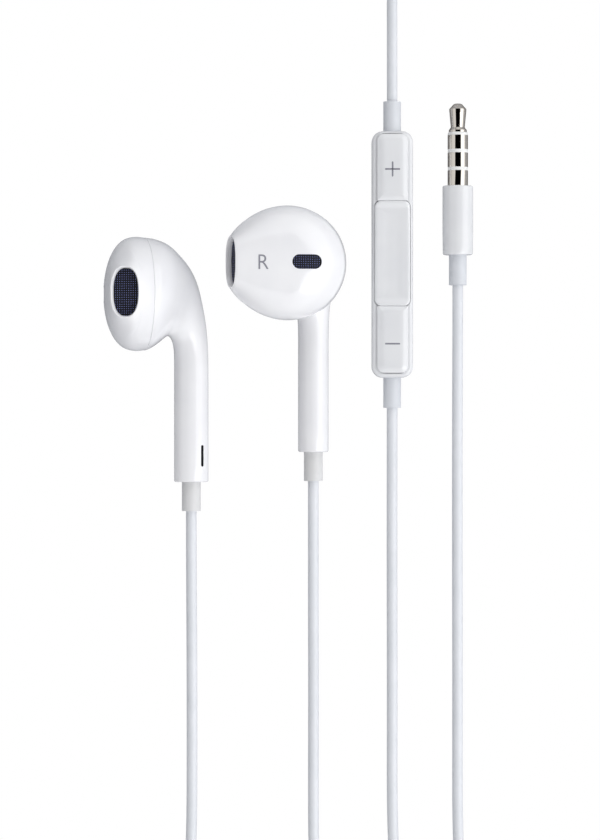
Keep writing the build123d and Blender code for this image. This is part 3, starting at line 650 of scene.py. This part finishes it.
# %% Turned nickel for the contacts
# Bright nickel from a lathe: warm, mirror-like, with faint rings round the plug's axis.
contact_nickel, tree = new_finish("bright_nickel_turned")
place = add_node(tree, "ShaderNodeTexCoord")
rings = add_node(tree, "ShaderNodeTexWave", {"Scale": wave_scale / (0.11 * MM), "Distortion": 0.4},
                 {"Vector": (place, "Object")}, bands_direction="Y")
bump = add_node(tree, "ShaderNodeBump", {"Strength": 0.12, "Distance": 0.01 * MM},
                {"Height": (rings, "Fac")})
tint = add_node(tree, "ShaderNodeValToRGB", links={"Fac": (rings, "Fac")})
tint.color_ramp.elements[0].color = colour("#D9D2C8")
tint.color_ramp.elements[1].color = colour("#E9E3DA")
# The dark Specular Tint is painted shade: it darkens the nickel's reflection towards its rims,
# standing in for dark surroundings reflected there.
surface = add_node(tree, "ShaderNodeBsdfPrincipled",
                   {"Metallic": 1.0, "Roughness": 0.07, "Specular Tint": colour("#6E6459")},
                   {"Base Color": (tint, "Color"), "Normal": (bump, "Normal")})
add_node(tree, "ShaderNodeOutputMaterial", links={"Surface": (surface, "BSDF")})


# %% Woven acoustic mesh
def woven(name, first, second, pitch=0.38):
    """Dark threads, woven over and under, coloured light blue on their raised crossings as a
    painted highlight. The two axes are those that the mesh lies along.
    """
    material, tree = new_finish(name)
    place = add_node(tree, "ShaderNodeTexCoord")
    scale = wave_scale / (pitch * MM)
    warp = add_node(tree, "ShaderNodeTexWave", {"Scale": scale}, {"Vector": (place, "Object")},
                    bands_direction=first)
    weft = add_node(tree, "ShaderNodeTexWave", {"Scale": scale}, {"Vector": (place, "Object")},
                    bands_direction=second)
    crossed = add_node(tree, "ShaderNodeMath", links={0: (warp, "Fac"), 1: (weft, "Fac")},
                       operation="MULTIPLY")
    # The raised crossings get the light blue: a painted highlight on the tops of the threads.
    thread_and_painted_highlight = add_node(tree, "ShaderNodeValToRGB", links={"Fac": (crossed, "Value")})
    thread_and_painted_highlight.color_ramp.elements[0].color = colour("#02030A")
    thread_and_painted_highlight.color_ramp.elements[0].position = 0.62
    thread_and_painted_highlight.color_ramp.elements[1].color = colour("#8E98DC")
    thread_and_painted_highlight.color_ramp.elements[1].position = 1.0
    bump = add_node(tree, "ShaderNodeBump", {"Strength": 0.8, "Distance": 0.1 * MM},
                    {"Height": (crossed, "Value")})
    surface = add_node(tree, "ShaderNodeBsdfPrincipled",
                       {"Roughness": 0.5, "Specular IOR Level": 0.25},
                       {"Base Color": (thread_and_painted_highlight, "Color"), "Normal": (bump, "Normal")})
    add_node(tree, "ShaderNodeOutputMaterial", links={"Surface": (surface, "BSDF")})
    return material


mesh_facing_up = woven("woven_mesh_flat", "X", "Y")
mesh_facing_sideways = woven("woven_mesh_upright", "Y", "Z")
print(len(bpy.data.materials), "finishes")

# %% [markdown]
# ## Placing the buds
# Each pattern is copied for both ears. The right bud lies on its back as the mirror image of
# the pattern, and the left bud lies on its side with its nozzle up.


# %% Put a copy of a pattern in its place
def finish_with(piece, *materials):
    piece.data.materials.clear()
    for material in materials:
        piece.data.materials.append(material)


def place_copy(pattern, name, matrix, material, body, slot, *cad_nodes):
    piece = bpy.data.objects.new(name, pattern.data.copy())
    piece.data.name = name
    bpy.context.scene.collection.objects.link(piece)
    to_metres = matrix.copy()
    to_metres.translation = to_metres.translation * MM
    piece.data.transform(to_metres)
    if to_metres.determinant() < 0:
        piece.data.flip_normals()
    finish_with(piece, material)
    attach(piece, body)
    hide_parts(*cad_nodes)
    return piece


left_roll = 13.2
head_height = 32.1
left_head = (left_collar[0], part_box("left_rear_shell")[0][1] / MM + head_height, left_stem_height)
right_head = (right_collar[0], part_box("right_rear_shell")[0][1] / MM + head_height,
              right_stem_height)
to_left = (Matrix.Translation(left_head)
           @ Matrix.Rotation(math.radians(left_roll - 90), 4, "Y"))
to_right = Matrix.Translation(right_head) @ Matrix.Scale(-1, 4, (1, 0, 0))
root = "earphones"
buds = {}
for ear, matrix in (("left", to_left), ("right", to_right)):
    buds[ear] = place_copy(front_cap, f"{ear}_bud_cap", matrix, white_abs, root, "white_shell",
                           f"{ear}_front_cap")
    place_copy(rear_shell, f"{ear}_bud_shell", matrix, white_abs, root, "white_shell",
               f"{ear}_rear_shell")
    vent_finish = mesh_facing_sideways if ear == "left" else mesh_facing_up
    place_copy(cap_vent, f"{ear}_bud_vent", matrix, vent_finish, root, "dark_mesh",
               f"{ear}_cap_vent_mesh")
    nozzle_finish = mesh_facing_up if ear == "left" else mesh_facing_sideways
    place_copy(nozzle_mesh, f"{ear}_bud_nozzle_mesh", matrix, nozzle_finish, root, "dark_mesh",
               f"{ear}_nozzle_mesh")
print("buds at", [round(c, 2) for c in left_head], [round(c, 2) for c in right_head])

# %% Nozzle walls: bare plastic below the polished rim
rim_depth = 0.12  # the polished rim ends this far in
nozzle_reach = 4.25  # the furthest wall face from the nozzle's middle
steepest = 0.75  # how far a wall's face may look out of the nozzle
for ear in ("left", "right"):
    cap = buds[ear]
    cap.data.materials.append(bare_abs)
    matrix = to_left if ear == "left" else to_right
    across = Vector((face[3] - face[1], 0, face[0] - face[2]))
    outwards = (matrix.to_3x3() @ across).normalized()
    middle = matrix @ Vector(((face[0] + face[2]) / 2, 0, (face[1] + face[3]) / 2))
    inner = 0
    for polygon in cap.data.polygons:
        offset = polygon.center / MM - middle
        depth = -offset.dot(outwards)
        aside = (offset + outwards * depth).length
        if (depth > rim_depth and aside < nozzle_reach
                and abs(polygon.normal.dot(outwards)) < steepest):
            if offset.dot(polygon.normal) < 0:
                polygon.material_index = 1
                inner += 1
    print(ear, "nozzle wall faces", inner)

for pattern in (front_cap, rear_shell, cap_vent, nozzle_mesh):
    bpy.data.objects.remove(pattern)

# %% [markdown]
# ## The remote's keys
# Two crowned plates carry the volume marks, and between them a wider scooped plate is the
# centre key. Each is one moulding whose edge is softly rounded all round, so each is grown
# from its guide up over the edge to the middle of its top.


# %% Key outlines
def key_outline(middle_x, middle_y, width, length, corner, inset, height_at, square_end=0):
    """A rectangle with round corners, drawn in by inset. height_at gives z from y.

    square_end is 1 or -1 for an end that butts against the centre key with sharp corners."""
    per_corner = 12
    half_x, half_y = width / 2 - inset, length / 2 - inset
    outline = []
    for quarter, (sign_x, sign_y) in enumerate(((1, 1), (-1, 1), (-1, -1), (1, -1))):
        radius = 0.15 if sign_y == square_end else max(corner - inset * 0.8, 0.08)
        radius = min(radius, half_x * 0.98)
        for i in range(per_corner):
            angle = math.radians(90 * quarter + 90 * i / (per_corner - 1))
            x = sign_x * (half_x - radius) + radius * math.cos(angle)
            y = sign_y * (half_y - radius) + radius * math.sin(angle)
            outline.append((middle_x + x, middle_y + y, height_at(y)))
    return outline


# Each pair is how far in and how far down an outline lies: the plate's edge, then its crown.
key_edge = ((0.0, 0.42), (0.0, 0.2), (0.03, 0.1), (0.1, 0.03), (0.2, 0.0))
key_crown = ((0.45, 0.22), (0.7, 0.11), (0.95, 0.045), (1.2, 0.01), (1.6, 0.0), (2.1, 0.0),
             (2.35, 0.0))
crown_drop = 0.34  # from the top of the crown to the plate's edge
plate_thickness = 1.0
key_corner = 1.2
guide_corner = 0.8
remote_middle = middle_of("remote_back_shell")
keys = {}
for node, mark, butt in (("volume_up_key", "plus", -1), ("volume_down_key", "minus", 1)):
    low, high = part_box(node)
    middle = (low + high) / 2 / MM
    size = (high - low) / MM
    top = high[2] / MM
    # The plate closes the gap beside the centre key to a hair line.
    wide, long = size[0] + 0.06, size[1] + 0.04
    plate_y = middle[1] + butt * 0.02
    guide = (middle[0], middle[1], size[0] - 0.6, size[1] - 2.4, guide_corner, 0.0)
    plate = (middle[0], plate_y, wide, long, key_corner)
    rows = [key_outline(*guide, lambda y: low[2] / MM + 0.1),
            key_outline(*guide, lambda y: top - plate_thickness),
            key_outline(*plate, 0.0, lambda y: top - plate_thickness, butt)]
    for inset, sink in key_edge:
        rows.append(key_outline(*plate, inset, lambda y: top - crown_drop - sink, butt))
    for inset, sink in key_crown:
        rows.append(key_outline(*plate, inset, lambda y: top - sink, butt))
    piece = grow(f"{mark}_key_cap", rows)
    smooth(piece, 50)
    finish_with(piece, painted_shade_abs)
    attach(piece, node)
    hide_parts(node)
    keys[mark] = (middle, top)
    print(piece.name, "is", [round(c, 2) for c in size])

# %% Centre key: flat middle, curved ramps at its ends
low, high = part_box("centre_key")
middle = (low + high) / 2 / MM
size = (high - low) / MM
edge_height = high[2] / MM
scoop_depth = 0.8
ramp = 2.5
under_plate = 1.25  # from the top of its ends to its underside
flat_half = size[1] / 2 - ramp


def scoop(y):
    beyond = max(0.0, abs(y) - flat_half) / ramp
    return edge_height - scoop_depth + scoop_depth * beyond ** 2


guide = (middle[0], middle[1], size[0] - 1.8, size[1] - 3.0, guide_corner, 0.0)
rows = [key_outline(*guide, lambda y: low[2] / MM + 0.1),
        key_outline(*guide, lambda y: edge_height - under_plate),
        key_outline(middle[0], middle[1], size[0], size[1], 1.1, 0.0,
                    lambda y: edge_height - under_plate)]
plate = (middle[0], middle[1], size[0] + 0.07, size[1] + 0.04, 1.15)
for inset, sink in ((0.0, 0.5), (0.02, 0.3), (0.1, 0.17), (0.22, 0.085), (0.4, 0.03),
                    (0.6, 0.005)):
    rows.append(key_outline(*plate, inset, lambda y: scoop(y) - sink))
for inset in (0.85, 1.2, 1.6, 2.0, 2.4, 2.7, 2.95):
    rows.append(key_outline(*plate, inset, scoop))
centre_key = grow("centre_key_cap", rows)
smooth(centre_key, 50)
finish_with(centre_key, painted_shade_abs)
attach(centre_key, "centre_key")
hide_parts("centre_key")
print("centre key is", [round(c, 2) for c in size])

# %% [markdown]
# ## Printed marks
# The plus, the minus and the letter R are thin grey ink, a few hundredths of a millimetre
# above the plastic that they are printed on.


# %% Plus and minus
def ink_bar(name, centre_x, centre_y, height, length, width, upright):
    flat = slot_outline(length, width, 24)
    turn = Matrix.Rotation(math.radians(90), 4, "Z") if upright else Matrix.Identity(4)
    turn = Matrix.Translation((centre_x, centre_y, 0)) @ turn
    rows = []
    for share, lift in ((1.0, -0.02), (1.0, 0.012), (0.8, 0.016), (0.1, 0.016)):
        scaled = [(x * share, y * share, height + lift) for x, y, _ in flat]
        rows.append(turned_outline(turn, scaled))
    return grow(name, rows)


def join(name, *parts):
    select_only(parts[0])
    for part in parts:
        part.select_set(True)
    bpy.ops.object.join()
    parts[0].name = parts[0].data.name = name
    return parts[0]


mark_length, mark_width = 2.6, 0.28
middle, top = keys["plus"]
plus_y = remote_middle[1] + 14.6
plus_mark = join("plus_mark",
                 ink_bar("bar_a", middle[0], plus_y, top, mark_length, mark_width, False),
                 ink_bar("bar_b", middle[0], plus_y, top, mark_length, mark_width, True))
middle, top = keys["minus"]
minus_y = remote_middle[1] - 15.4
minus_mark = ink_bar("minus_mark", middle[0], minus_y, top, mark_length, mark_width, False)
for piece, body in ((plus_mark, "volume_up_key"), (minus_mark, "volume_down_key")):
    finish_with(piece, print_grey)
    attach(piece, body)

# %% The letter R, laid on the right bud's cap
cap_top = surface_of(buds["right"])
bpy.ops.object.select_all(action="DESELECT")
bpy.ops.object.text_add()
letter = bpy.context.object
letter.data.body = "R"
letter.data.size = 3.75 * MM
letter.data.offset = -0.03 * MM
letter.data.align_x = "CENTER"
letter.data.align_y = "CENTER"
bpy.ops.object.convert(target="MESH")
letter = bpy.context.object
# Small triangles, so that the letter can follow the cap's curve.
bpy.ops.object.mode_set(mode="EDIT")
bpy.ops.mesh.select_all(action="SELECT")
bpy.ops.mesh.quads_convert_to_tris()
bpy.ops.mesh.subdivide(number_cuts=3)
bpy.ops.object.mode_set(mode="OBJECT")
letter.name = letter.data.name = "letter_r_mark"
wide = max(v.co.x for v in letter.data.vertices) - min(v.co.x for v in letter.data.vertices)
tall = max(v.co.y for v in letter.data.vertices) - min(v.co.y for v in letter.data.vertices)
centre_x = sum(v.co.x for v in letter.data.vertices) / len(letter.data.vertices)
low_y = min(v.co.y for v in letter.data.vertices)
letter_place = (right_head[0] - 8.28, right_head[1] - 0.08)
letter_width, letter_height = 1.7, 2.42
ink_lift = 0.03
for vert in letter.data.vertices:
    x = letter_place[0] + (vert.co.x - centre_x) / wide * letter_width
    y = letter_place[1] + ((vert.co.y - low_y) / tall - 0.5) * letter_height
    vert.co = Vector(laid_on(cap_top, x, y, ink_lift)) * MM
finish_with(letter, print_grey)
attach(letter, root)
print("letter drawn", round(wide / MM, 2), "by", round(tall / MM, 2), "before fitting")

# %% [markdown]
# ## The pieces whose CAD shape is already right
# The remote's shells, the collars, the splitter and the turned plug keep their CAD shape. A
# CAD mesh is loose triangles, so a copy is merged and shaded smooth up to its real edges.


# %% Polish a copy of a CAD node
def polished(node, material, degrees=28):
    piece = bpy.data.objects.new(f"{node}_piece", nodes[node].data.copy())
    piece.data.name = piece.name
    bpy.context.scene.collection.objects.link(piece)
    select_only(piece)
    bpy.ops.object.mode_set(mode="EDIT")
    bpy.ops.mesh.select_all(action="SELECT")
    bpy.ops.mesh.remove_doubles(threshold=0.0005 * MM)
    bpy.ops.object.mode_set(mode="OBJECT")
    if piece.data.has_custom_normals:
        bpy.ops.mesh.customdata_custom_splitnormals_clear()
    smooth(piece, degrees)
    weighted = piece.modifiers.new("weighted", "WEIGHTED_NORMAL")
    weighted.keep_sharp = True
    apply_modifiers(piece)
    finish_with(piece, material)
    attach(piece, nodes[node]["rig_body"])
    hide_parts(node)
    return piece


polish_list = [
    ("remote_back_shell", painted_shade_abs, "white_shell"),
    ("remote_front_frame", painted_shade_abs, "white_shell"),
    ("plug_housing", painted_shade_abs, "white_shell"),
    ("left_strain_relief", bud_tpe, "bud_collar"),
    ("right_strain_relief", bud_tpe, "bud_collar"),
    ("remote_upper_strain_relief", collar_tpe, "cord_collar"),
    ("remote_lower_strain_relief", collar_tpe, "cord_collar"),
    ("plug_strain_relief", collar_tpe, "cord_collar"),
    ("splitter", collar_tpe, "cord_collar"),
    ("plug_tip_contact", contact_nickel, "contact_metal"),
    ("plug_first_ring_contact", contact_nickel, "contact_metal"),
    ("plug_second_ring_contact", contact_nickel, "contact_metal"),
    ("plug_sleeve_contact", contact_nickel, "contact_metal"),
    ("plug_insulator", insulator_white, "contact_insulator"),
]
polished_pieces = {}
for node, material, slot in polish_list:
    polished_pieces[node] = polished(node, material)
print(len(polished_pieces), "CAD shapes polished")

# %% Finishes for the pieces inside
inner_finishes = {
    "stem_vent_mesh": mesh_facing_sideways,
    "driver_frame": black_plastic,
    "driver_yoke": plated_steel,
    "driver_magnet": plated_steel,
    "pole_plate": plated_steel,
    "voice_coil": enamelled_copper,
    "diaphragm": film,
    "front_gasket": black_plastic,
    "terminal_board": solder_mask,
    "inner_leads": enamelled_copper,
    "circuit_board": solder_mask,
    "key_switches": plated_steel,
    "microphone": plated_steel,
    "microphone_mesh": mesh_facing_up,
    "solder_terminals": plated_steel,
}
for node, piece in nodes.items():
    if not piece.hide_render:
        part = node.split("_", 1)[1]
        if part in inner_finishes:
            finish_with(piece, inner_finishes[part])
            print(node, "gets", inner_finishes[part].name)

# %% [markdown]
# ## Coil ties
# The put-away length is held by a soft strap round each coil. It is a flat closed band that
# goes round the turns with rounded corners.


# %% Coil ties
def coil_tie(name, centre, outer_radius, turns, degrees):
    """A strap round a coil's turns, at an angle of degrees on the table."""
    corner_power = 0.45  # below 1, so the band's section has square sides and round corners
    inner_edge = outer_radius - turns * turn_pitch - cord_radius - 0.9
    outer_edge = outer_radius + cord_radius + 0.25
    top = upper_layer + cord_radius + 0.1
    middle_r, half_r = (inner_edge + outer_edge) / 2, (outer_edge - inner_edge) / 2
    angle = math.radians(degrees)
    outward = Vector((math.cos(angle), math.sin(angle), 0))
    sideways = Vector((-math.sin(angle), math.cos(angle), 0))
    rows = []
    for half_width, grow_by in ((1.9, 0.0), (2.0, 0.12), (2.0, 0.42), (1.9, 0.5), (-1.9, 0.5),
                                (-2.0, 0.42), (-2.0, 0.12), (-1.9, 0.0)):
        row = []
        for i in range(64):
            turn = 2 * math.pi * i / 64
            cos_t, sin_t = math.cos(turn), math.sin(turn)
            r = middle_r + (half_r + grow_by) * math.copysign(abs(cos_t) ** corner_power, cos_t)
            z = top / 2 + (top / 2 + grow_by) * math.copysign(abs(sin_t) ** corner_power, sin_t)
            place = Vector((*centre, 0)) + outward * r + sideways * half_width
            row.append((place.x, place.y, max(z, 0.03)))
        rows.append(row)
    rows.append(rows[0])
    piece = grow(name, rows, close_first=False, close_last=False)
    select_only(piece)
    bpy.ops.object.mode_set(mode="EDIT")
    bpy.ops.mesh.select_all(action="SELECT")
    bpy.ops.mesh.remove_doubles(threshold=0.001 * MM)
    bpy.ops.mesh.normals_make_consistent(inside=False)
    bpy.ops.object.mode_set(mode="OBJECT")
    smooth(piece, 50)
    finish_with(piece, black_plastic)
    return piece


small_tie = coil_tie("small_coil_tie", *small_coil, 270)
large_tie = coil_tie("large_coil_tie", *large_coil, 0)

cords = [
    (left_cord, left_exit, ["left_cord", "left_coil", "left_cord_tail"], "fitting", "coiled",
     [small_tie, polished_pieces["splitter"]]),
    (right_cord, right_exit, ["right_cord"], "object", "loose", []),
    (remote_cord, remote_exit, ["remote_cord"], "object", "loose", []),
    (main_cord, main_exit, ["main_cord_tail", "main_coil", "main_cord"], "plug", "coiled",
     [large_tie] + [polished_pieces[n] for n in polished_pieces if n.startswith("plug_")]
     + [nodes["plug_solder_terminals"]]),
]
for piece in (small_tie, large_tie):
    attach(piece, root)


def line_length(piece):
    """Length of a cord's line, measured on the curve with its bevel off."""
    curve = piece.data
    depth, curve.bevel_depth = curve.bevel_depth, 0
    bpy.context.view_layer.update()
    mesh = bpy.data.meshes.new_from_object(piece.evaluated_get(
        bpy.context.evaluated_depsgraph_get()))
    curve.bevel_depth = depth
    total = sum((mesh.vertices[e.vertices[0]].co - mesh.vertices[e.vertices[1]].co).length
                for e in mesh.edges)
    bpy.data.meshes.remove(mesh)
    return total


for piece, exit_place, cad_nodes, far_end, lay, pieces_on_it in cords:
    finish_with(piece, cord_tpe)
    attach(piece, root)
    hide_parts(*cad_nodes)
    length = line_length(piece)
    print(piece.name, "is", round(length / MM), "mm long")

# %% [markdown]
# ## Table and light
# The table is two sheets: a white one for the background, and a grey card just under it that
# keeps the sides of white pieces grey, so their outlines show. A soft light stands to the
# right, and the room is brighter on that side.

# %% Table: the white backdrop and the grey card under it
bpy.ops.object.select_all(action="DESELECT")
bpy.ops.mesh.primitive_plane_add(size=6, location=(0, 0, -0.00003))
table = bpy.context.object
table.name = table.data.name = "table"
table_paint, tree = new_finish("white_backdrop")
surface = add_node(tree, "ShaderNodeEmission", {"Color": (1, 1, 1, 1), "Strength": 1.0})
add_node(tree, "ShaderNodeOutputMaterial", links={"Surface": (surface, "Emission")})
finish_with(table, table_paint)
# The camera sees this sheet, and only the camera: it neither lights nor shows in the plastic.
table.visible_diffuse = table.visible_glossy = table.visible_transmission = False
table.visible_shadow = False

bpy.ops.mesh.primitive_plane_add(size=2, location=(0, 0, -0.0006))
under_sheet = bpy.context.object
under_sheet.name = under_sheet.data.name = "under_sheet"
grey_card, tree = new_finish("matt_grey_card")
surface = add_node(tree, "ShaderNodeBsdfPrincipled",
                   {"Base Color": (0.46, 0.47, 0.5, 1), "Roughness": 0.8})
add_node(tree, "ShaderNodeOutputMaterial", links={"Surface": (surface, "BSDF")})
finish_with(under_sheet, grey_card)
under_sheet.visible_camera = False

# %% Room light
world = bpy.data.worlds.new("soft_room")
bpy.context.scene.world = world
world.use_nodes = True
tree = world.node_tree
tree.nodes.clear()
place = add_node(tree, "ShaderNodeTexCoord")
axes = add_node(tree, "ShaderNodeSeparateXYZ", links={"Vector": (place, "Generated")})
height = add_node(tree, "ShaderNodeValToRGB", links={"Fac": (axes, "Z")})
# From the floor up: a dim wall, bright panels, and a dark ceiling straight above.
room_levels = ((0.0, 0.4), (0.12, 0.6), (0.3, 1.3), (0.8, 1.36), (0.85, 0.0))
stops = height.color_ramp.elements
for number, (position, level) in enumerate(room_levels):
    if number == 0:
        stop = stops[0]
    elif number == len(room_levels) - 1:
        stop = stops[-1]
    else:
        stop = stops.new(position)
    stop.position = position
    stop.color = (level, level, level, 1)
side = add_node(tree, "ShaderNodeMapRange",
                {"From Min": -0.8, "From Max": 0.9, "To Min": 0.6, "To Max": 1.35},
                {"Value": (axes, "X")})
room = add_node(tree, "ShaderNodeMath", links={0: (height, "Color"), 1: (side, "Result")},
                operation="MULTIPLY")
glow = add_node(tree, "ShaderNodeBackground", {"Color": (0.985, 0.99, 1, 1)},
                {"Strength": (room, "Value")})
add_node(tree, "ShaderNodeOutputWorld", links={"Surface": (glow, "Background")})

# %% Soft light from the lower right
soft = bpy.data.lights.new("soft_box", "AREA")
soft.shape = "DISK"
soft.size = 0.4
soft.energy = 0.9
soft_box = bpy.data.objects.new("soft_box", soft)
soft_box.location = (0.42, -0.25, 0.55)
light_target = Vector((0.005, -0.02, 0))
aim = light_target - soft_box.location
soft_box.rotation_euler = aim.to_track_quat("-Z", "Y").to_euler()
bpy.context.scene.collection.objects.link(soft_box)
bpy.context.scene.view_settings.view_transform = "Standard"

# %% Update the scene
bpy.context.view_layer.update()
